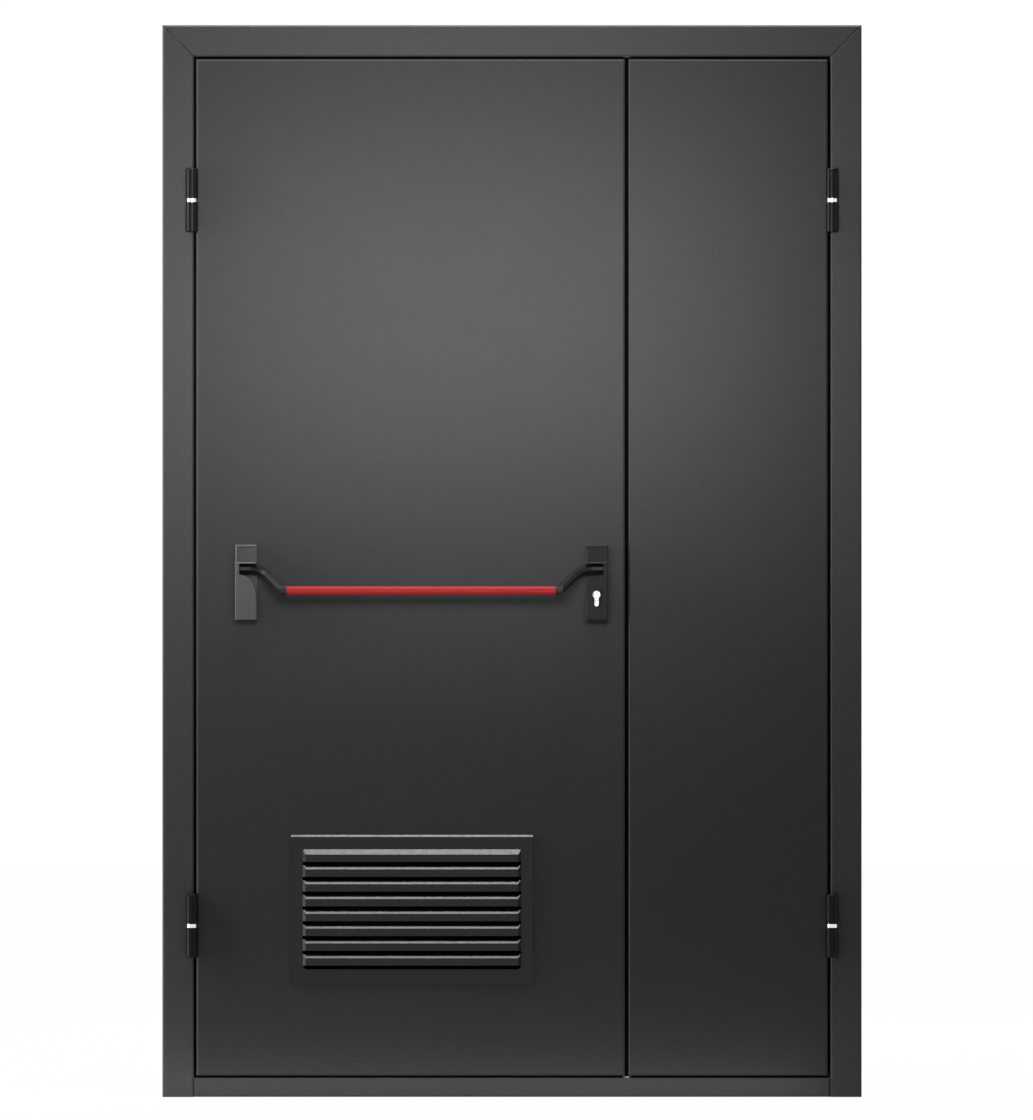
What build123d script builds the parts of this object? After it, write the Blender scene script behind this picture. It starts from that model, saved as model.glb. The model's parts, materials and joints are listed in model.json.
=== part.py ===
from build123d import *
import os

# Steel fire door, one and a half leaves, with a push bar and a vent grille.
# Sizes are millimetres. The viewer stands at minus Y, X runs to the right and Z is up.
# The origin is on the floor under the threshold, midway between the jambs, in the plane of the wall.

# Frame of folded sheet
frame_width = 1370.0
frame_height = 2100.0
frame_depth = 120.0
frame_sheet = 2.0
frame_bend = 4.0
casing_width = 61.5
casing_proud = 14.0
stop_width = 22.0
rear_return = 40.0
mitre_seam = 0.04
mitre_groove = 1.5
edge_bite = 2.1
threshold_height = 38.0
threshold_stop = 12.0
threshold_flange = 40.0
anchor_diameter = 11.0
anchor_outer_spacing = 1600.0
anchor_inner_spacing = 560.0

# Rubber seals of the frame
seal_width = 11.0
seal_height = 6.0
seal_depth = 3.0
seal_clearance = 0.5
seal_round = 1.0

# Leaves
leaf_thickness = 64.0
leaf_sheet = 1.5
leaf_bevel = 3.5
bevel_lean = 38.0
leaf_gap = 5.0
sill_gap = 4.0
meeting_gap = 6.5
active_width = 839.75
active_bevel = 3.5
passive_bevel = 6.0
meeting_seal_reach = 5.4
meeting_seal_depth = 6.0
meeting_seal_inset = 4.0
meeting_seal_round = 1.5

# Lift-off hinges
barrel_diameter = 24.0
barrel_clearance = 0.5
barrel_chamfer = 2.0
hinge_outboard = 3.0
knuckle_height = 59.0
ring_diameter = 21.5
ring_height = 7.0
pin_diameter = 12.0
pin_reach = 46.0
pin_clearance = 0.05
pin_end_room = 3.0
running_gap = 0.3
wing_thickness = 2.5
wing_depth = 46.0
lower_hinge_rise = 294.0
upper_hinge_drop = 277.5

# Push bar with its brackets and arms
pivot_height = 1034.0
pivot_stand = 26.0
bracket_width = 42.0
bracket_above_pivot = 48.0
bracket_below_pivot = 99.0
bracket_hinge_margin = 77.5
bracket_meeting_margin = 34.25
bracket_shelf_depth = 48.0
bracket_foot_depth = 42.0
bracket_panel_depth = 38.0
bracket_chamfer = 2.0
bracket_cheek = 8.0
bracket_web = 10.0
panel_border = 4.0
panel_recess = 7.0
shelf_thickness = 3.0
scoop_lip = 4.0
pivot_pin_diameter = 10.0
pivot_pin_inset = 1.0
arm_side_gap = 0.5
arm_slot_room = 1.5
arm_knee = 10.0
arm_bend = 45.0
arm_deep = 17.5
arm_tall = 16.0
arm_chamfer = 4.5
collar_length = 14.0
collar_lip = 1.25
bar_drop = 41.0
bar_stand = 89.0
bar_inset = 60.0
bar_tall = 15.5
bar_deep = 22.0
bar_wall = 1.5
bar_corner = 5.0
spigot_length = 25.0
spigot_clearance = 0.3

# Lock
key_drop = 50.0
cylinder_diameter = 13.5
cylinder_tail_width = 7.0
cylinder_tail_drop = 19.0
cylinder_proud = 2.0
cylinder_clearance = 1.0
cylinder_surround = 3.2
plug_diameter = 10.0
plug_length = 30.0
plug_clearance = 0.05
key_slit_width = 1.6
key_slit_height = 7.0
key_slit_depth = 6.0
faceplate_width = 22.0
faceplate_height = 240.0
faceplate_thickness = 3.0
bolt_window = 12.0
bolt_window_height = 30.0
bolt_window_spread = 90.0
bolt_window_depth = 1.5
strike_height = 180.0

# Vent
grille_hinge_margin = 185.5
grille_rise = 180.5
grille_side_border = 22.0
grille_end_border = 26.6
grille_sheet = 1.5
grille_proud = 5.0
grille_bevel = 3.9
louvre_count = 8
louvre_pitch = 29.0
louvre_width = 430.0
louvre_proud = 7.4
louvre_slope = 11.6
louvre_face = 14.4
louvre_trim = 4.2
louvre_foot = 6.0
louvre_end_taper = 7.0
louvre_corner = 10.0
louvre_seat = 1.0
vent_margin = 4.0
sleeve_sheet = 1.5

# Places that follow from the sizes
half_frame = frame_width / 2
jamb_face = half_frame - casing_width
stop_face = jamb_face - stop_width
y_front = -casing_proud
y_back = y_front + frame_depth
leaf_back = y_front + leaf_thickness
y_stop = leaf_back + seal_depth
leaf_left = leaf_gap - jamb_face
leaf_right = jamb_face - leaf_gap
active_right = leaf_left + active_width
passive_left = active_right + meeting_gap
leaf_bottom = threshold_height + sill_gap
leaf_top = frame_height - casing_width - leaf_gap
hinge_x = jamb_face + hinge_outboard
hinge_y = y_front - barrel_diameter / 2 - barrel_clearance
bracket_left = leaf_left + bracket_hinge_margin
bracket_right = active_right - bracket_meeting_margin
bracket_middle = (bracket_left + bracket_right) / 2
bracket_bottom = pivot_height - bracket_below_pivot
bracket_top = pivot_height + bracket_above_pivot
arm_corner = max(
    (arm_deep**2 + (arm_tall - 2 * arm_chamfer) ** 2) ** 0.5 / 2,
    (arm_tall**2 + (arm_deep - 2 * arm_chamfer) ** 2) ** 0.5 / 2,
)
slot_top = pivot_height + arm_corner + arm_slot_room
slot_floor = pivot_height - arm_corner - arm_slot_room
shelf_top = slot_top + shelf_thickness
pivot_y = y_front - pivot_stand
bar_y = y_front - bar_stand
bar_height = pivot_height - bar_drop
key_x = bracket_right - bracket_width / 2
key_height = pivot_height - key_drop
cover_rise = (key_height - bracket_bottom) / (shelf_top - bracket_bottom)
key_front_depth = bracket_foot_depth + (bracket_shelf_depth - bracket_foot_depth) * cover_rise
louvre_field = louvre_count * louvre_pitch + louvre_foot
grille_width = louvre_width + 2 * grille_side_border
grille_height = louvre_field + 2 * grille_end_border
grille_left = leaf_left + grille_hinge_margin
grille_bottom = leaf_bottom + grille_rise
grille_middle = grille_left + grille_width / 2
louvre_top = grille_bottom + grille_height - grille_end_border
leaf_middle = y_front + leaf_thickness / 2

os.makedirs("parts", exist_ok=True)


def keep(name, solid):
    """Writes one piece of the door."""
    export_step(solid, f"parts/{name}.step")


def mirrored_x(solid, x=0.0):
    """The same piece on the other side of an upright plane at x."""
    return mirror(solid, about=Plane(origin=(x, 0, 0), z_dir=(1, 0, 0)))


def block(low, high):
    """Box between two corners."""
    size = [high[i] - low[i] for i in range(3)]
    centre = [(high[i] + low[i]) / 2 for i in range(3)]
    return Pos(*centre) * Box(*size)


def bevelled(solid, size, top_only=False):
    """Solid whose front edges, or the top one alone, have leaning bevels, size wide on the front."""
    front = solid.faces().sort_by(Axis.Y)[0]
    edges = front.edges().sort_by(Axis.Z)
    return chamfer(edges[-1] if top_only else edges, length=size, angle=bevel_lean, reference=front)


def towards_viewer(outline, x, z, y_near, y_far):
    """Solid of an outline that is drawn as the viewer sees it round a place, between two depths."""
    front_view = Plane(origin=(x, y_far, z), x_dir=(1, 0, 0), z_dir=(0, -1, 0))
    return extrude(front_view * outline, amount=y_far - y_near)


def folded(points, side):
    """Face of a folded sheet, whose outer skin follows the points."""
    skin = FilletPolyline(*points, radius=frame_bend)
    return make_face(Wire(skin.edges()).offset_2d(frame_sheet, side=side))


# Frame

casing_section = [
    (0, 0),
    (0, y_front),
    (casing_width, y_front),
    (casing_width, y_stop),
    (casing_width + stop_width, y_stop),
    (casing_width + stop_width, y_back),
    (casing_width + stop_width - rear_return, y_back),
]


def mitre_plane(side):
    """Plane of a top corner's mitre, facing the head, on the left (-1) or the right (1)."""
    return Plane(origin=(side * half_frame, 0, frame_height), z_dir=(-side, 0, 1))


def mitre_cut(side):
    """Shallow V along the front of a top corner's mitre."""
    seam = Plane(
        origin=(side * half_frame, y_front, frame_height),
        x_dir=(0, 1, 0),
        z_dir=(-side, 0, -1),
    )
    square = Rot(0, 0, 45) * Rectangle(2**0.5 * mitre_groove, 2**0.5 * mitre_groove)
    return extrude(seam * square, amount=2**0.5 * casing_width)


def flattened(solid, corner, outward):
    """Folded piece whose front corner is pressed flat, square to the outward direction."""
    flat = Plane(origin=Vector(corner) - outward * edge_bite, z_dir=outward)
    return split(solid, bisect_by=flat, keep=Keep.BOTTOM)


def jamb():
    """Left jamb: casing, reveal, stop and rear return in one folded sheet, with four anchor holes."""
    plan = Plane(origin=(-half_frame, 0, 0), x_dir=(1, 0, 0), z_dir=(0, 0, 1))
    post = extrude(plan * folded(casing_section, Side.LEFT), amount=frame_height)
    for corner, lean in ((-half_frame, -bevel_lean), (-jamb_face, bevel_lean)):
        post = flattened(post, (corner, y_front, 0), Vector(0, -1, 0).rotate(Axis.Z, lean))
    post = split(post, bisect_by=mitre_plane(-1).offset(-mitre_seam / 2), keep=Keep.BOTTOM)
    post -= mitre_cut(-1)
    for spacing in (anchor_outer_spacing, anchor_inner_spacing):
        for end in (-1, 1):
            hole = Cylinder(anchor_diameter / 2, 4 * frame_sheet, rotation=(0, 90, 0))
            height = frame_height / 2 + end * spacing / 2
            post -= Pos(-stop_face, (y_stop + y_back) / 2, height) * hole
    return post


def head_rail():
    """Head, mitred to the jambs at both ends."""
    end_view = Plane(origin=(-half_frame, 0, frame_height), x_dir=(0, 0, -1), z_dir=(1, 0, 0))
    rail = extrude(end_view * folded(casing_section, Side.LEFT), amount=frame_width)
    for corner, lean in ((frame_height, -bevel_lean), (frame_height - casing_width, bevel_lean)):
        rail = flattened(rail, (0, y_front, corner), Vector(0, -1, 0).rotate(Axis.X, lean))
    for side in (-1, 1):
        rail = split(rail, bisect_by=mitre_plane(side).offset(mitre_seam / 2), keep=Keep.TOP)
        rail -= mitre_cut(side)
    return rail


def threshold_bar():
    """Threshold butted between the jambs, with a low stop behind the leaves."""
    section = [
        (y_front + threshold_flange, 0),
        (y_front, 0),
        (y_front, threshold_height),
        (y_stop, threshold_height),
        (y_stop, threshold_height + threshold_stop),
        (y_back, threshold_height + threshold_stop),
        (y_back, 0),
        (y_back - threshold_flange, 0),
    ]
    end_view = Plane(origin=(-jamb_face, 0, 0), x_dir=(0, 1, 0), z_dir=(1, 0, 0))
    bar = extrude(end_view * folded(section, Side.RIGHT), amount=2 * jamb_face)
    for side in (-1, 1):
        outward = Vector(0, -1, 0).rotate(Axis.Z, side * bevel_lean)
        bar = flattened(bar, (side * jamb_face, y_front, 0), outward)
        near, far = sorted((side * stop_face, side * jamb_face))
        bar -= block((near, y_stop - frame_bend, 0), (far, y_back, threshold_height + threshold_stop))
    return bar


def seal_strip(low, high):
    """Flat rubber strip with its leaf side rounded."""
    strip = block(low, high)
    return fillet(strip.faces().sort_by(Axis.Y)[0].edges(), seal_round)


seal_near = leaf_back + seal_clearance
side_seal_x = (stop_face + leaf_right) / 2
head_seal_z = frame_height - half_frame + side_seal_x
left_jamb = jamb()
left_seal = seal_strip(
    (-side_seal_x - seal_width / 2, seal_near, threshold_height + threshold_stop),
    (-side_seal_x + seal_width / 2, y_stop, head_seal_z - seal_width / 2),
)
keep("left_jamb", left_jamb)
keep("right_jamb", mirrored_x(left_jamb))
keep("head", head_rail())
keep("threshold", threshold_bar())
keep("left_seal", left_seal)
keep("right_seal", mirrored_x(left_seal))
keep(
    "head_seal",
    seal_strip(
        (-side_seal_x - seal_width / 2, seal_near, head_seal_z - seal_width / 2),
        (side_seal_x + seal_width / 2, y_stop, head_seal_z + seal_width / 2),
    ),
)
keep(
    "threshold_seal",
    seal_strip(
        (-stop_face, seal_near, leaf_bottom),
        (stop_face, y_stop, leaf_bottom + seal_height),
    ),
)


# Hinges


def frame_knuckle(height):
    """Lower half of a left hinge: barrel and a wing on the jamb."""
    ring_bottom = height - ring_height / 2
    barrel = Cylinder(barrel_diameter / 2, knuckle_height, align=(Align.CENTER, Align.CENTER, Align.MAX))
    barrel = chamfer(barrel.edges().group_by(Axis.Z)[0], barrel_chamfer)
    wing = block((hinge_outboard, 0, -knuckle_height), (hinge_outboard + wing_thickness, wing_depth, 0))
    return Pos(-hinge_x, hinge_y, ring_bottom) * (barrel + wing)


def hinge_ring(height):
    """Bright bearing ring between the two barrels, in one piece with the pin that carries the leaf."""
    ring = Cylinder(ring_diameter / 2, ring_height)
    pin = Cylinder(pin_diameter / 2, pin_reach, align=(Align.CENTER, Align.CENTER, Align.MIN))
    return Pos(-hinge_x, hinge_y, height) * (ring + Pos(0, 0, ring_height / 2) * pin)


def leaf_knuckle(height):
    """Upper half of a left hinge: barrel with a blind bore for the pin and a wing on the leaf's edge."""
    base = height + ring_height / 2 + running_gap
    barrel = Cylinder(barrel_diameter / 2, knuckle_height, align=(Align.CENTER, Align.CENTER, Align.MIN))
    barrel = chamfer(barrel.edges().group_by(Axis.Z)[-1], barrel_chamfer)
    edge = hinge_outboard + leaf_gap
    wing = block((edge - wing_thickness, 0, 0), (edge, wing_depth, knuckle_height))
    bore = Cylinder(
        pin_diameter / 2 + pin_clearance,
        pin_reach + pin_end_room,
        align=(Align.CENTER, Align.CENTER, Align.MIN),
    )
    return Pos(-hinge_x, hinge_y, base) * (barrel + wing - bore)


hinge_heights = {"lower": leaf_bottom + lower_hinge_rise, "upper": leaf_top - upper_hinge_drop}
for place, height in hinge_heights.items():
    pieces = {
        "frame_knuckle": frame_knuckle(height),
        "hinge_ring": hinge_ring(height),
        "leaf_knuckle": leaf_knuckle(height),
    }
    for name, piece in pieces.items():
        keep(f"left_{place}_{name}", piece)
        keep(f"right_{place}_{name}", mirrored_x(piece))


# Leaves


def edge_at(front_x, lean, y):
    """Place of a leaf's upright edge at a depth, for an edge that leans by lean over the thickness."""
    return front_x + lean * (y - y_front) / leaf_thickness


def leaf_block(edges, inset, y_near, y_far):
    """Block of a leaf between two depths, drawn in from its four edges by inset."""
    (left, left_lean), (right, right_lean) = edges
    plan = Polyline(
        (edge_at(left, left_lean, y_near) + inset, y_near),
        (edge_at(right, right_lean, y_near) - inset, y_near),
        (edge_at(right, right_lean, y_far) - inset, y_far),
        (edge_at(left, left_lean, y_far) + inset, y_far),
        close=True,
    )
    height = leaf_top - leaf_bottom - 2 * inset
    return Pos(0, 0, leaf_bottom + inset) * extrude(make_face(plan), amount=height)


def leaf_pieces(edges):
    """Front skin folded round the edges, insulating core and back skin of one leaf."""
    skin = bevelled(leaf_block(edges, 0, y_front, leaf_back), leaf_bevel)
    core = bevelled(leaf_block(edges, leaf_sheet, y_front + leaf_sheet, leaf_back - leaf_sheet), leaf_bevel)
    skin -= core
    skin -= leaf_block(edges, leaf_sheet, leaf_back - leaf_sheet, leaf_back + leaf_sheet)
    back = leaf_block(edges, leaf_sheet, leaf_back - leaf_sheet, leaf_back)
    return {"front_skin": skin, "core": core, "back_skin": back}


def edge_plate(front_x, lean, outward, height):
    """Steel plate let in flush into a leaf's meeting edge, with two bolt windows."""
    face = Plane(
        origin=(front_x + lean / 2, leaf_middle, key_height),
        x_dir=(lean, leaf_thickness, 0),
        z_dir=(outward * leaf_thickness, -outward * lean, 0),
    )
    flush = (Align.CENTER, Align.CENTER, Align.MAX)
    pocket = face * Box(faceplate_width, height, faceplate_thickness, align=flush)
    plate = pocket
    for side in (-1, 1):
        window = Box(bolt_window, bolt_window_height, bolt_window_depth, align=flush)
        plate -= face * Pos(0, side * bolt_window_spread / 2, 0) * window
    return plate, pocket


def cylinder_profile(grow):
    """Outline of a profile cylinder, seen from the front, grown by a clearance."""
    radius = cylinder_diameter / 2 + grow
    tail = cylinder_tail_width / 2 + grow
    drop = cylinder_tail_drop
    outline = Circle(radius)
    outline += Pos(0, -drop / 2) * Rectangle(2 * tail, drop)
    outline += Pos(0, -drop) * Circle(tail)
    return outline


active_edges = ((leaf_left, 0), (active_right, -active_bevel))
passive_edges = ((passive_left, passive_bevel), (leaf_right, 0))

faceplate, faceplate_pocket = edge_plate(active_right, -active_bevel, 1, faceplate_height)
strike, strike_pocket = edge_plate(passive_left, passive_bevel, -1, strike_height)

vent_low = (grille_middle - louvre_width / 2 - vent_margin, louvre_top - louvre_field - vent_margin)
vent_high = (grille_middle + louvre_width / 2 + vent_margin, louvre_top + vent_margin)
vent_hole = block((vent_low[0], y_front, vent_low[1]), (vent_high[0], leaf_back, vent_high[1]))
vent_clear = block(
    (vent_low[0] + sleeve_sheet, y_front, vent_low[1] + sleeve_sheet),
    (vent_high[0] - sleeve_sheet, leaf_back, vent_high[1] - sleeve_sheet),
)
cylinder_front = y_front - key_front_depth - cylinder_proud
cylinder_back = leaf_back + cylinder_proud
keyhole = cylinder_profile(cylinder_clearance)
cylinder_hole = towards_viewer(keyhole, key_x, key_height, y_front, leaf_back)

for name, piece in leaf_pieces(active_edges).items():
    keep(f"active_{name}", piece - vent_hole - cylinder_hole - faceplate_pocket)
for name, piece in leaf_pieces(passive_edges).items():
    keep(f"passive_{name}", piece - strike_pocket)
keep("lock_faceplate", faceplate)
keep("strike_plate", strike)
keep("vent_sleeve", vent_hole - vent_clear)


def meeting_seal():
    """Rubber lip on the passive leaf's edge that darkens the joint between the leaves."""
    y_near = y_front + meeting_seal_inset
    y_far = y_near + meeting_seal_depth
    tip = passive_left - meeting_seal_reach
    plan = Polyline(
        (tip, y_near),
        (edge_at(passive_left, passive_bevel, y_near), y_near),
        (edge_at(passive_left, passive_bevel, y_far), y_far),
        (tip, y_far),
        close=True,
    )
    lip = Pos(0, 0, leaf_bottom) * extrude(make_face(plan), amount=leaf_top - leaf_bottom)
    tip_edges = lip.edges().filter_by(Axis.Z).group_by(Axis.X)[0]
    return fillet(tip_edges, meeting_seal_round)


keep("meeting_seal", meeting_seal())


# Vent grille


def hood_form(top, corner, shrink):
    """Solid of a louvre with a slope, an upright face and tapered ends, drawn in by shrink all round."""
    bottom = top - louvre_slope - louvre_face - shrink
    half = louvre_width / 2 - shrink
    y_plate = y_front - grille_proud + grille_sheet
    y_face = y_plate - louvre_proud - grille_sheet + shrink
    sections = []
    for depth, taper, upper in (
        (y_plate, 0, top - shrink),
        (y_face, louvre_end_taper, top - louvre_slope - shrink),
    ):
        view = Plane(origin=(grille_middle, depth, 0), x_dir=(1, 0, 0), z_dir=(0, -1, 0))
        sections.append(view * Pos(0, (upper + bottom) / 2) * Rectangle(2 * (half - taper), upper - bottom))
    form = loft(sections, ruled=True)
    if corner:
        outline = Rectangle(2 * half, top - shrink - bottom)
        outline = fillet(outline.vertices().group_by(Axis.Y)[-1], corner - shrink)
        form &= towards_viewer(outline, grille_middle, (top - shrink + bottom) / 2, y_face, y_plate)
    return form


def hood(i):
    """Pressed louvre of sheet, open below. The first one has round corners, the others end at a slot."""
    top = louvre_top - i * louvre_pitch
    corner = 0 if i else louvre_corner
    shell = hood_form(top, corner, 0) - hood_form(top, corner, grille_sheet)
    if i:
        shell = split(shell, bisect_by=Plane(origin=(0, 0, top - louvre_trim)), keep=Keep.BOTTOM)
    return shell


def tray_form(inset):
    """Flat block with a bevelled top edge, drawn in by inset from its front and its four sides."""
    form = block(
        (grille_left + inset, y_front - grille_proud + inset, grille_bottom + inset),
        (grille_left + grille_width - inset, y_front, grille_bottom + grille_height - inset),
    )
    return bevelled(form, grille_bevel, top_only=True)


def grille():
    """Shallow sheet tray on the leaf's front with its row of pressed louvres."""
    field = RectangleRounded(
        louvre_width - 2 * louvre_seat,
        louvre_field - 2 * louvre_seat,
        louvre_corner - louvre_seat,
    )
    field_middle = louvre_top - louvre_field / 2
    tray = tray_form(0) - tray_form(grille_sheet)
    tray -= towards_viewer(field, grille_middle, field_middle, y_front - grille_proud, y_front)
    for i in range(louvre_count):
        tray += hood(i)
    return tray


# The rear grille sits half a pitch higher, so that no light shows through the slots.
vent_grille = grille()
behind = mirror(vent_grille, about=Plane(origin=(0, leaf_middle, 0), z_dir=(0, 1, 0)))
keep("vent_grille", vent_grille)
keep("rear_vent_grille", Pos(0, 0, louvre_pitch / 2) * behind)


# Push bar


def bracket():
    """Left bracket: lower cover, recessed upper panel over a shelf, and a scooped slot for the arm."""
    right = bracket_left + bracket_width
    side_view = Plane(origin=(bracket_left, 0, 0), x_dir=(0, 1, 0), z_dir=(1, 0, 0))
    outline = Polyline(
        (y_front, bracket_bottom),
        (y_front - bracket_foot_depth, bracket_bottom),
        (y_front - bracket_shelf_depth, shelf_top),
        (y_front, shelf_top),
        close=True,
    )
    cover = extrude(side_view * make_face(outline), amount=bracket_width)
    cover = chamfer(cover.faces().sort_by(Axis.Y)[0].edges(), bracket_chamfer)
    panel = block(
        (bracket_left, y_front - bracket_panel_depth, bracket_bottom),
        (right, y_front, bracket_top),
    )
    panel = chamfer(panel.faces().sort_by(Axis.Y)[0].edges(), bracket_chamfer)
    body = cover + panel
    body -= block(
        (bracket_left + panel_border, y_front - bracket_shelf_depth, shelf_top),
        (right - panel_border, y_front - bracket_panel_depth + panel_recess, bracket_top - panel_border),
    )
    scoop = bracket_width - bracket_cheek - scoop_lip
    slot_height = slot_top - slot_floor + scoop
    slot = Rectangle(bracket_width, slot_height, align=(Align.MIN, Align.MIN))
    body -= towards_viewer(
        slot - Circle(scoop),
        bracket_left + bracket_cheek,
        slot_floor - scoop,
        y_front - 2 * bracket_shelf_depth,
        y_front - bracket_web,
    )
    bore = Cylinder(pivot_pin_diameter / 2 + pin_clearance, 2 * bracket_cheek, rotation=(0, 90, 0))
    return body - Pos(bracket_left + bracket_cheek, pivot_y, pivot_height) * bore


def across_bar(x, outline):
    """Outline laid across the bar's axis at x."""
    return Plane(origin=(x, bar_y, bar_height), x_dir=(0, 1, 0), z_dir=(1, 0, 0)) * outline


def horn():
    """Bevelled lever that lies in the left bracket's slot and bends out and down to the bar's end."""
    out = bar_stand - pivot_stand
    slant = Plane(
        origin=(bracket_left + bracket_width, pivot_y, pivot_height),
        x_dir=(1, 0, 0),
        z_dir=(0, bar_drop, -out),
    )
    path = FilletPolyline(
        (bracket_cheek + arm_side_gap - bracket_width, 0),
        (arm_knee, 0),
        (bar_inset - collar_length / 2, (out**2 + bar_drop**2) ** 0.5),
        radius=arm_bend,
    )
    start = Plane(origin=path @ 0, x_dir=(0, 1, 0), z_dir=path % 0)
    section = chamfer(Rectangle(arm_deep, arm_tall).vertices(), arm_chamfer)
    lever = slant * sweep(start * section, path=path)
    bar_end = Plane(origin=(bracket_left + bracket_width + bar_inset, 0, 0), z_dir=(1, 0, 0))
    return split(lever, bisect_by=bar_end, keep=Keep.BOTTOM)


def arm():
    """Left arm: pin in the bracket's cheek, the horn, and a collar with a spigot that holds the bar."""
    root = bracket_left + bracket_cheek + arm_side_gap
    pin_length = bracket_cheek + arm_side_gap - pivot_pin_inset
    pin = Cylinder(pivot_pin_diameter / 2, pin_length, rotation=(0, 90, 0))
    lever = horn() + Pos(root - pin_length / 2, pivot_y, pivot_height) * pin
    bar_end = bracket_left + bracket_width + bar_inset
    outside = RectangleRounded(bar_deep + 2 * collar_lip, bar_tall + 2 * collar_lip, bar_corner + collar_lip)
    lever += extrude(across_bar(bar_end - collar_length, outside), amount=collar_length)
    inside = bar_wall + spigot_clearance
    spigot = Rectangle(bar_deep - 2 * inside, bar_tall - 2 * inside)
    spigot = chamfer(spigot.vertices(), bar_corner - inside)
    return lever + extrude(across_bar(bar_end, spigot), amount=spigot_length)


def bar_tube():
    """Red tube between the two arms."""
    left = bracket_left + bracket_width + bar_inset
    length = 2 * (bracket_middle - left)
    outside = RectangleRounded(bar_deep, bar_tall, bar_corner)
    inside = RectangleRounded(bar_deep - 2 * bar_wall, bar_tall - 2 * bar_wall, bar_corner - bar_wall)
    return extrude(across_bar(left, outside - inside), amount=length)


left_bracket = bracket()
left_arm = arm()
keep("left_bracket", left_bracket)
surround = towards_viewer(cylinder_profile(cylinder_surround), key_x, key_height, cylinder_front, y_front)
keep("right_bracket", mirrored_x(left_bracket, bracket_middle) - surround)
keep("left_arm", left_arm)
keep("right_arm", mirrored_x(left_arm, bracket_middle))
keep("push_bar", bar_tube())


# Key cylinder

plug_bore = Circle(plug_diameter / 2 + plug_clearance)
plug_end = cylinder_front + plug_length
cylinder = towards_viewer(cylinder_profile(0), key_x, key_height, cylinder_front, cylinder_back)
keep("lock_cylinder", cylinder - towards_viewer(plug_bore, key_x, key_height, cylinder_front, plug_end))
plug = towards_viewer(Circle(plug_diameter / 2), key_x, key_height, cylinder_front, plug_end)
slit = Rectangle(key_slit_width, key_slit_height)
slit_end = cylinder_front + key_slit_depth
keep("key_plug", plug - towards_viewer(slit, key_x, key_height, cylinder_front, slit_end))
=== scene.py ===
"""Looks of a grey steel fire door: powder coat, black fittings, a red push bar and a soft studio."""

import json
import math

import bmesh
import bpy
from mathutils import Matrix, Vector


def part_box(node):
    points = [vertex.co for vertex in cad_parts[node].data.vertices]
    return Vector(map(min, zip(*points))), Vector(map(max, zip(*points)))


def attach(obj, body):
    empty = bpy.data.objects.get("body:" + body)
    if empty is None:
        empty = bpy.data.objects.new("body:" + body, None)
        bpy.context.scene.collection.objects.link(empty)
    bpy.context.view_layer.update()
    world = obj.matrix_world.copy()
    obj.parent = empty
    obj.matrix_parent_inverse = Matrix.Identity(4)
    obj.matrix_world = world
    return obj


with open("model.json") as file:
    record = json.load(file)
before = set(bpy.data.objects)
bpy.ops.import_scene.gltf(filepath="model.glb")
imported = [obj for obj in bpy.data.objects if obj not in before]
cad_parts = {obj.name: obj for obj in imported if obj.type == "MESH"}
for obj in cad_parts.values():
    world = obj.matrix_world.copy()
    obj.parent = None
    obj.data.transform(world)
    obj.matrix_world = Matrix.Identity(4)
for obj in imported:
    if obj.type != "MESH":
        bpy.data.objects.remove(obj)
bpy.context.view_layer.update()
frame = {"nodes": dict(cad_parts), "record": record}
nodes = frame["nodes"]
scene = bpy.context.scene

# Camera that looks straight at the door from far away: lengths in metres, the sensor in millimetres
PICTURE_HEIGHT = 2.194
CAMERA_DISTANCE = 16.0
CAMERA_AIM = Vector((0.0088, -0.014, 1.052))
SENSOR_HEIGHT = 36.0

# Lamps: size across and up in metres, place, aim and power in watts
LIGHTS = {
    "key": ((1.2, 0.6), (-0.1, -2.2, 1.61), (-0.1, 0.0, 1.56), 4.5),
    "overhead": ((1.0, 0.5), (-0.2, -0.98, 4.0), (-0.2, -0.02, 0.37), 1.7),
    "left_rim": ((0.5, 1.4), (-2.56, -0.45, 1.65), (-0.6, 0.0, 1.65), 40.0),
    "low_left_rim": ((0.5, 0.4), (-2.56, -0.45, 0.2), (-0.6, 0.0, 0.2), 10.0),
    "top_rim": ((2.2, 0.12), (0.0, -0.09, 2.7), (0.0, 0.0, 2.1), 19.0),
    "back_fill": ((2.4, 2.0), (0.3, 2.8, 1.4), (0.0, 0.0, 1.05), 55.0),
    "low_fill": ((1.9, 0.08), (-0.35, -0.13, 0.01), (-0.35, 0.0, 0.01), 0.84),
}
# Beams in degrees: two lamps have a narrow one, and the others have the full one
BEAMS = {"key": 52.0, "overhead": 40.0}
FULL_BEAM = 180.0

# Surroundings: strength of the even soft light, and the floor
AMBIENT = 0.06
FLOOR_HALF = 12.0
FLOOR_COLOUR = (0.82, 0.82, 0.82)
FLOOR_WHITE_SHARE = 0.985

# Linear colours of the finishes
FRAME_GREY = (0.060, 0.061, 0.0637)
LEAF_GREY = (0.040, 0.041, 0.043)
GRILLE_GREY = (0.013, 0.0132, 0.0138)
# Near-black of the vent's liner and baffles: partly the liner's own black, partly painted shade of
# the deep vent behind the slots
SLEEVE_BLACK_AND_SHADE = (0.006, 0.006, 0.006)
RUBBER_BLACK = (0.002, 0.002, 0.002)
WOOL_YELLOW = (0.42, 0.36, 0.22)
HINGE_BLACK = (0.008, 0.008, 0.0084)
RING_STEEL = (0.80, 0.80, 0.79)
# The two brackets share one grey: the left bracket's lighter copy is painted light, the right
# bracket's darker copy is painted shade
LIT_BRACKET_GREY = (0.112, 0.1075, 0.103)
SHADED_BRACKET_GREY = (0.028, 0.0262, 0.0245)
ARM_BLACK = (0.012, 0.012, 0.0128)
BAR_RED = (0.50, 0.0155, 0.019)
NICKEL = (0.70, 0.69, 0.67)
EDGE_STEEL = (0.52, 0.52, 0.51)

# Middle part of a noise, over which a colour or a roughness runs from its low to its high value
NOISE_LOW = 0.3
NOISE_HIGH = 0.7


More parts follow.
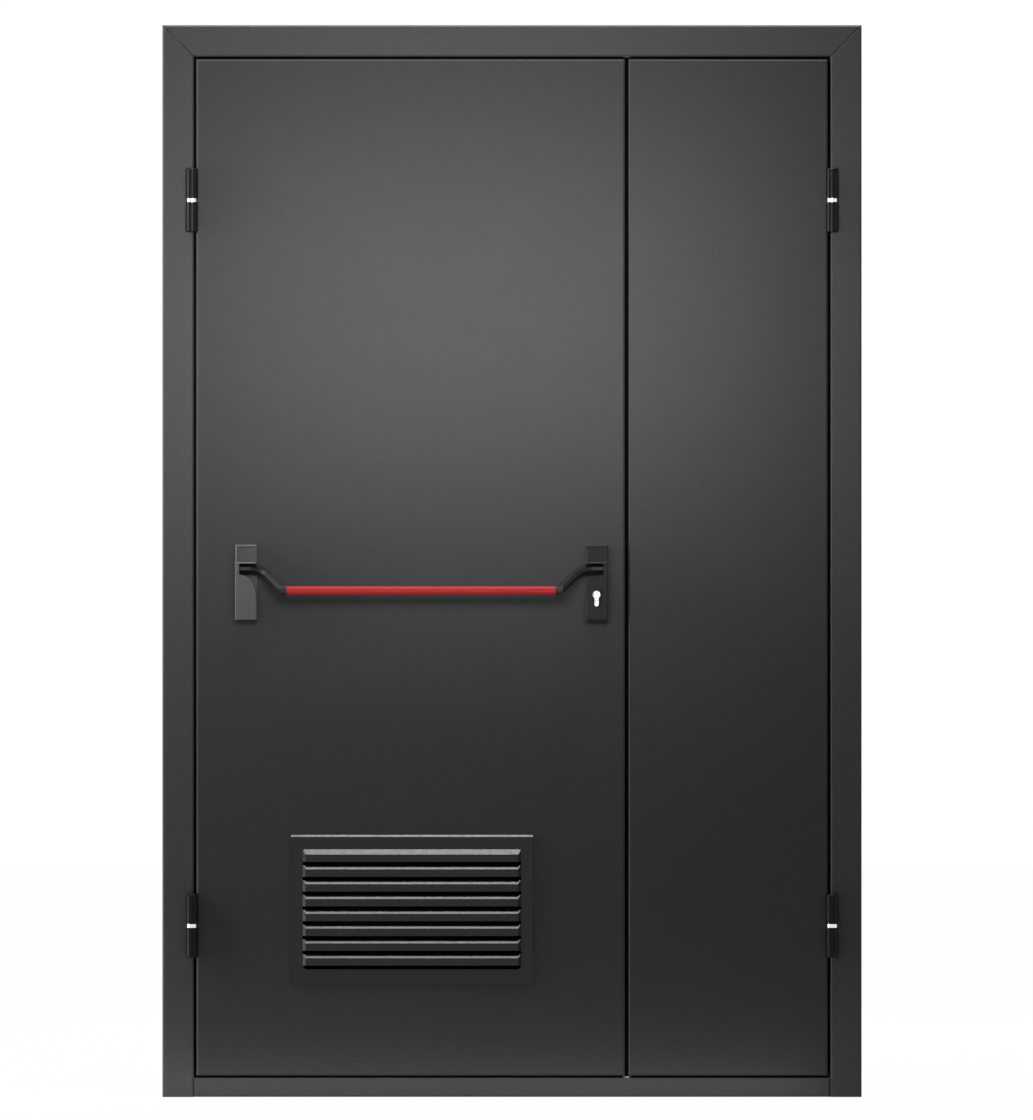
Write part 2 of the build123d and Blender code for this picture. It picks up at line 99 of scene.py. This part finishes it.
class Nodes:
    """Short way to add nodes to one material and to wire them."""

    def __init__(self, name):
        self.material = bpy.data.materials.new(name)
        self.material.use_nodes = True
        self.tree = self.material.node_tree
        self.shader = self.tree.nodes["Principled BSDF"]
        self.place = self.add("ShaderNodeTexCoord").outputs["Object"]

    def add(self, kind, **inputs):
        """New node whose inputs are named with _ for each space."""
        node = self.tree.nodes.new(kind)
        for name, value in inputs.items():
            node.inputs[name.replace("_", " ")].default_value = value
        return node

    def link(self, output, socket):
        self.tree.links.new(output, socket)

    def noise(self, size, stretch=(1, 1, 1), detail=2.0):
        """Noise whose features are about size metres across, drawn out along the axes by stretch."""
        mapping = self.add("ShaderNodeMapping", Scale=[1 / (size * s) for s in stretch])
        self.link(self.place, mapping.inputs["Vector"])
        node = self.add("ShaderNodeTexNoise", Scale=1.0, Detail=detail)
        self.link(mapping.outputs["Vector"], node.inputs["Vector"])
        return node.outputs["Fac"]

    def colour(self, fac, colour, change):
        """Base colour that swings by change on either side of colour."""
        ramp = self.add("ShaderNodeValToRGB")
        stops = zip(ramp.color_ramp.elements, (NOISE_LOW, NOISE_HIGH), (1 - change, 1 + change))
        for stop, place, share in stops:
            stop.position = place
            stop.color = [*(share * c for c in colour), 1]
        self.link(fac, ramp.inputs["Fac"])
        self.link(ramp.outputs["Color"], self.shader.inputs["Base Color"])

    def rough(self, fac, low, high):
        """Roughness that runs from low to high over the middle of a noise."""
        node = self.add(
            "ShaderNodeMapRange", From_Min=NOISE_LOW, From_Max=NOISE_HIGH, To_Min=low, To_Max=high
        )
        self.link(fac, node.inputs["Value"])
        self.link(node.outputs["Result"], self.shader.inputs["Roughness"])

    def bump(self, fac, height, strength=1.0):
        """Relief that is height metres deep at full strength."""
        node = self.add("ShaderNodeBump", Strength=strength, Distance=height)
        self.link(fac, node.inputs["Height"])
        self.link(node.outputs["Normal"], self.shader.inputs["Normal"])

    def set(self, **sockets):
        """Values of the shader's inputs, which are named with _ for each space."""
        for name, value in sockets.items():
            self.shader.inputs[name.replace("_", " ")].default_value = value


def powder_coat(name, colour, roughness, specular):
    """Satin powder coat with a fine orange peel."""
    m = Nodes(name)
    peel = m.noise(size=0.0032, detail=3.0)
    m.colour(peel, colour, change=0.10)
    m.rough(m.noise(size=0.05), low=roughness - 0.006, high=roughness + 0.006)
    m.bump(peel, height=0.00002, strength=0.5)
    m.set(Specular_IOR_Level=specular)
    return m.material


def satin_paint(name, colour, roughness, specular):
    """Smooth sprayed paint on a metal fitting, with faint waves."""
    m = Nodes(name)
    waves = m.noise(size=0.004)
    m.colour(waves, colour, change=0.06)
    m.rough(m.noise(size=0.012), low=roughness - 0.02, high=roughness + 0.02)
    m.bump(waves, height=0.00001, strength=0.4)
    m.set(Specular_IOR_Level=specular)
    return m.material


def moulded_plastic(name, colour, roughness, specular):
    """Fine grained moulded cover."""
    m = Nodes(name)
    grain = m.noise(size=0.0016, detail=4.0)
    m.colour(m.noise(size=0.02), colour, change=0.05)
    m.rough(grain, low=roughness - 0.05, high=roughness + 0.05)
    m.bump(grain, height=0.00004, strength=0.5)
    m.set(Specular_IOR_Level=specular)
    return m.material


def rubber(name, colour):
    """Dull extruded rubber with fine lengthwise marks."""
    m = Nodes(name)
    marks = m.noise(size=0.002, stretch=(1, 1, 30))
    m.colour(marks, colour, change=0.15)
    m.rough(marks, low=0.7, high=0.85)
    m.bump(marks, height=0.00005, strength=0.6)
    m.set(Specular_IOR_Level=0.02)
    return m.material


def turned_metal(name, colour, roughness, stretch):
    """Bright metal with fine tool marks drawn out along stretch."""
    m = Nodes(name)
    marks = m.noise(size=0.0006, stretch=stretch, detail=3.0)
    m.colour(marks, colour, change=0.04)
    m.rough(marks, low=roughness - 0.04, high=roughness + 0.06)
    m.bump(marks, height=0.00001, strength=0.5)
    m.set(Metallic=1.0)
    return m.material


def mineral_wool(name, colour):
    """Matted fibres of the insulating core."""
    m = Nodes(name)
    fibres = m.noise(size=0.004, stretch=(6, 6, 1), detail=6.0)
    m.colour(fibres, colour, change=0.35)
    m.rough(fibres, low=0.85, high=0.95)
    m.bump(fibres, height=0.001)
    return m.material


# Finish of each material slot: how it is made, its colour and the values it needs
FINISHES = {
    "frame_coating": (powder_coat, FRAME_GREY, {"roughness": 0.38, "specular": 0.12}),
    "leaf_coating": (powder_coat, LEAF_GREY, {"roughness": 0.38, "specular": 0.12}),
    "grille_coating": (satin_paint, GRILLE_GREY, {"roughness": 0.2, "specular": 0.25}),
    # Vent liner and baffles in a black that is partly painted shade inside the vent
    "sleeve_black": (satin_paint, SLEEVE_BLACK_AND_SHADE, {"roughness": 0.7, "specular": 0.15}),
    "seal_rubber": (rubber, RUBBER_BLACK, {}),
    "core_wool": (mineral_wool, WOOL_YELLOW, {}),
    "hinge_black": (satin_paint, HINGE_BLACK, {"roughness": 0.28, "specular": 0.09}),
    "hinge_ring_steel": (turned_metal, RING_STEEL, {"roughness": 0.16, "stretch": (20, 20, 1)}),
    # Lit and shaded copies of one bracket grey: painted light on the left bracket, painted shade on
    # the right
    "bracket_grey": (moulded_plastic, LIT_BRACKET_GREY, {"roughness": 0.45, "specular": 0.15}),
    "bracket_dark": (moulded_plastic, SHADED_BRACKET_GREY, {"roughness": 0.45, "specular": 0.1}),
    "arm_black": (satin_paint, ARM_BLACK, {"roughness": 0.34, "specular": 0.18}),
    "bar_red": (satin_paint, BAR_RED, {"roughness": 0.32, "specular": 0.16}),
    "cylinder_steel": (turned_metal, NICKEL, {"roughness": 0.2, "stretch": (1, 30, 1)}),
    "edge_steel": (turned_metal, EDGE_STEEL, {"roughness": 0.3, "stretch": (1, 1, 40)}),
}
MATERIALS = {slot: make(slot, colour, **values) for slot, (make, colour, values) in FINISHES.items()}


def dress(obj, slot):
    obj.data.materials.clear()
    obj.data.materials.append(MATERIALS[slot])


for subpart in frame["record"]["subparts"]:
    dress(nodes[subpart["node"]], subpart["material_slot"])


def closed_loft(mesh, outlines):
    """Closed form through two or more outlines that have the same number of points."""
    rings = [[mesh.verts.new(point) for point in outline] for outline in outlines]
    for ring, following in zip(rings, rings[1:]):
        for i in range(len(ring)):
            j = (i + 1) % len(ring)
            mesh.faces.new((ring[i], ring[j], following[j], following[i]))
    mesh.faces.new(rings[-1])
    mesh.faces.new(reversed(rings[0]))


def add_piece(name, mesh, slot, body):
    """Object of a finished mesh that moves with a body."""
    bmesh.ops.recalc_face_normals(mesh, faces=mesh.faces)
    data = bpy.data.meshes.new(name)
    mesh.to_mesh(data)
    mesh.free()
    data.polygons.foreach_set("use_smooth", [True] * len(data.polygons))
    obj = bpy.data.objects.new(name, data)
    scene.collection.objects.link(obj)
    dress(obj, slot)
    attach(obj, body)


# Countersunk screws of the two plates in the meeting edges

SCREW_RADIUS = 0.0042
SCREW_PROUD = 0.0003
SCREW_EDGE = 0.012
SCREW_SIDES = 32
SHOULDER_RADIUS = 0.92 * SCREW_RADIUS
SHOULDER_PROUD = 0.7 * SCREW_PROUD
CROWN_RADIUS = 0.6 * SCREW_RADIUS
RECESS_RADIUS = 0.0019
RECESS_FLOOR_RADIUS = 0.8 * RECESS_RADIUS
RECESS_DEPTH = 0.0012
# Place of a head's base, from the middle of the plate's box outwards, as a share of the box
SCREW_SEAT = 0.25


def screw_head(mesh, place, outward):
    """Low domed head with a round drive recess, drawn round its axis."""
    profile = (
        (SCREW_RADIUS, 0.0),
        (SHOULDER_RADIUS, SHOULDER_PROUD),
        (CROWN_RADIUS, SCREW_PROUD),
        (RECESS_RADIUS, SCREW_PROUD),
        (RECESS_FLOOR_RADIUS, SCREW_PROUD - RECESS_DEPTH),
    )
    turn = outward.to_track_quat("Z", "Y").to_matrix().to_4x4()
    frame_of_head = Matrix.Translation(place) @ turn
    outlines = []
    for radius, height in profile:
        outline = []
        for i in range(SCREW_SIDES):
            a = 2 * math.pi * i / SCREW_SIDES
            spot = Vector((radius * math.cos(a), radius * math.sin(a), height))
            outline.append(frame_of_head @ spot)
        outlines.append(outline)
    closed_loft(mesh, outlines)


def plate_screws(node, side, body):
    """Two screws near the ends of an edge plate, whose heads look along X to the side."""
    low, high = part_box(node)
    mesh = bmesh.new()
    seat_x = (low.x + high.x) / 2 + side * (high.x - low.x) * SCREW_SEAT
    for z in (low.z + SCREW_EDGE, high.z - SCREW_EDGE):
        screw_head(mesh, Vector((seat_x, (low.y + high.y) / 2, z)), Vector((side, 0, 0)))
    add_piece(node + "_screws", mesh, "edge_steel", body)


plate_screws("lock_faceplate", 1, "active_leaf")
plate_screws("strike_plate", -1, "passive_leaf")


# Soft fin of the meeting seal, which tucks in behind the active leaf's front edge

FIN_TUCK = 0.00013
FIN_ROOT = 0.0006
FIN_BACK = 0.0016
FIN_HALF = 0.001
FIN_STEPS = 12
FIN_DROP = 0.0034


def meeting_fin():
    """Thin rubber fin with a round tip, along the whole seal and down to just above the threshold."""
    seal_low, seal_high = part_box("meeting_seal")
    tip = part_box("active_front_skin")[1].x - FIN_TUCK
    root = seal_low.x + FIN_ROOT
    middle = seal_high.y - FIN_BACK
    across = []
    for i in range(FIN_STEPS + 1):
        a = math.pi * i / FIN_STEPS
        across.append((root - (root - tip) * math.sin(a), middle - FIN_HALF * math.cos(a)))
    ends = (seal_low.z - FIN_DROP, seal_high.z)
    mesh = bmesh.new()
    closed_loft(mesh, [[(x, y, z) for x, y in across] for z in ends])
    add_piece("meeting_fin", mesh, "seal_rubber", "passive_leaf")


meeting_fin()


# Bent baffles inside the vent, which let air through and stop the view; their near-black is partly
# painted shade of the deep vent

BAFFLE_PITCH = 0.013
BAFFLE_RISE = 0.015
BAFFLE_RIDGE = 0.0145
BAFFLE_RUN = 0.019
BAFFLE_THICKNESS = 0.0008
BAFFLE_INSET = 0.003
BAFFLE_FOLD = 0.0015


def vent_shade_baffles():
    """Rows of sheet strips folded like a roof, across the sleeve between the two grilles."""
    low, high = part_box("vent_sleeve")
    middle = (low.y + high.y) / 2
    upper = (
        (-BAFFLE_RUN, 0.0),
        (-BAFFLE_FOLD, BAFFLE_RIDGE),
        (BAFFLE_FOLD, BAFFLE_RIDGE),
        (BAFFLE_RUN, 0.0),
    )
    strip = list(upper) + [(y, z - BAFFLE_THICKNESS) for y, z in reversed(upper)]
    ends = (low.x + BAFFLE_INSET, high.x - BAFFLE_INSET)
    rows = 1 + int((high.z - low.z - 2 * BAFFLE_INSET - BAFFLE_RISE) / BAFFLE_PITCH)
    mesh = bmesh.new()
    for row in range(rows):
        base = low.z + BAFFLE_INSET + row * BAFFLE_PITCH
        closed_loft(mesh, [[(x, middle + y, base + z) for y, z in strip] for x in ends])
    # Near-black baffles: partly painted shade of the vent's inside
    add_piece("vent_shade_baffles", mesh, "sleeve_black", "active_leaf")


vent_shade_baffles()


# End plates inside the hollow threshold, which close its joints to the jambs

CAP_INSET = 0.002
CAP_THICKNESS = 0.0015
CAP_FRONT_CORNER = 0.002
CAP_BACK_CORNER = 0.004
CAP_FRONT = 0.0022
CAP_DEPTH = 0.06
CAP_FOOT = 0.0005
CAP_TOP = 0.0356


def threshold_caps():
    """Two upright plates with cut corners, one just inside each end of the threshold."""
    low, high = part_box("threshold")
    near = low.y + CAP_FRONT
    far = near + CAP_DEPTH
    outline = (
        (near, CAP_FOOT),
        (far, CAP_FOOT),
        (far, CAP_TOP - CAP_BACK_CORNER),
        (far - CAP_BACK_CORNER, CAP_TOP),
        (near + CAP_FRONT_CORNER, CAP_TOP),
        (near, CAP_TOP - CAP_FRONT_CORNER),
    )
    mesh = bmesh.new()
    for outer, inward in ((low.x, 1), (high.x, -1)):
        sides = (outer + inward * CAP_INSET, outer + inward * (CAP_INSET + CAP_THICKNESS))
        closed_loft(mesh, [[(x, y, z) for y, z in outline] for x in sides])
    add_piece("threshold_caps", mesh, "frame_coating", "frame")


threshold_caps()


# Studio

scene.view_settings.view_transform = "Standard"


def aimed(obj, place, aim):
    """Puts an object into the scene so that it looks from place to aim."""
    obj.location = place
    obj.rotation_mode = "QUATERNION"
    obj.rotation_quaternion = (Vector(aim) - Vector(place)).to_track_quat("-Z", "Y")
    scene.collection.objects.link(obj)


for name, (size, place, aim, power) in LIGHTS.items():
    lamp = bpy.data.lights.new(name, "AREA")
    lamp.shape = "RECTANGLE"
    lamp.size, lamp.size_y = size
    lamp.energy = power
    lamp.spread = math.radians(BEAMS.get(name, FULL_BEAM))
    lamp_object = bpy.data.objects.new(name, lamp)
    aimed(lamp_object, place, aim)
    lamp_object.visible_camera = False


def seen_directly(tree):
    """Output that is 1 for camera rays and for mirrored or refracted ones, and 0 for the rest."""
    path = tree.nodes.new("ShaderNodeLightPath")
    total = path.outputs["Is Camera Ray"]
    for name in ("Is Glossy Ray", "Is Transmission Ray"):
        most = tree.nodes.new("ShaderNodeMath")
        most.operation = "MAXIMUM"
        tree.links.new(total, most.inputs[0])
        tree.links.new(path.outputs[name], most.inputs[1])
        total = most.outputs["Value"]
    return total


def white_world():
    """Even soft light, with a plain white background where it is seen or mirrored."""
    world = bpy.data.worlds.new("studio")
    world.use_nodes = True
    scene.world = world
    tree = world.node_tree
    strength = tree.nodes.new("ShaderNodeMapRange")
    strength.inputs["To Min"].default_value = AMBIENT
    strength.inputs["To Max"].default_value = 1.0
    tree.links.new(seen_directly(tree), strength.inputs["Value"])
    background = tree.nodes["Background"]
    background.inputs["Color"].default_value = (1, 1, 1, 1)
    tree.links.new(strength.outputs["Result"], background.inputs["Strength"])


def pale_floor():
    """Wide floor that is near white where it is seen or mirrored, with a faint shadow of the door."""
    mesh = bmesh.new()
    bmesh.ops.create_grid(mesh, x_segments=1, y_segments=1, size=FLOOR_HALF)
    data = bpy.data.meshes.new("floor")
    mesh.to_mesh(data)
    mesh.free()
    floor = bpy.data.objects.new("floor", data)
    scene.collection.objects.link(floor)
    m = Nodes("pale_floor")
    m.colour(m.noise(size=0.6), FLOOR_COLOUR, change=0.01)
    m.set(Roughness=0.9, Specular_IOR_Level=0.1)
    glow = m.add("ShaderNodeEmission", Strength=1.0)
    share = m.add("ShaderNodeMath")
    share.operation = "MULTIPLY"
    share.inputs[1].default_value = FLOOR_WHITE_SHARE
    m.link(seen_directly(m.tree), share.inputs[0])
    mix = m.add("ShaderNodeMixShader")
    m.link(share.outputs["Value"], mix.inputs["Fac"])
    m.link(m.shader.outputs["BSDF"], mix.inputs[1])
    m.link(glow.outputs["Emission"], mix.inputs[2])
    m.link(mix.outputs["Shader"], m.tree.nodes["Material Output"].inputs["Surface"])
    data.materials.append(m.material)


white_world()
pale_floor()

camera = bpy.data.cameras.new("camera")
camera.sensor_fit = "VERTICAL"
camera.sensor_height = SENSOR_HEIGHT
camera.lens = SENSOR_HEIGHT * CAMERA_DISTANCE / PICTURE_HEIGHT
camera_object = bpy.data.objects.new("camera", camera)
aimed(camera_object, CAMERA_AIM - Vector((0, CAMERA_DISTANCE, 0)), CAMERA_AIM)
scene.camera = camera_object
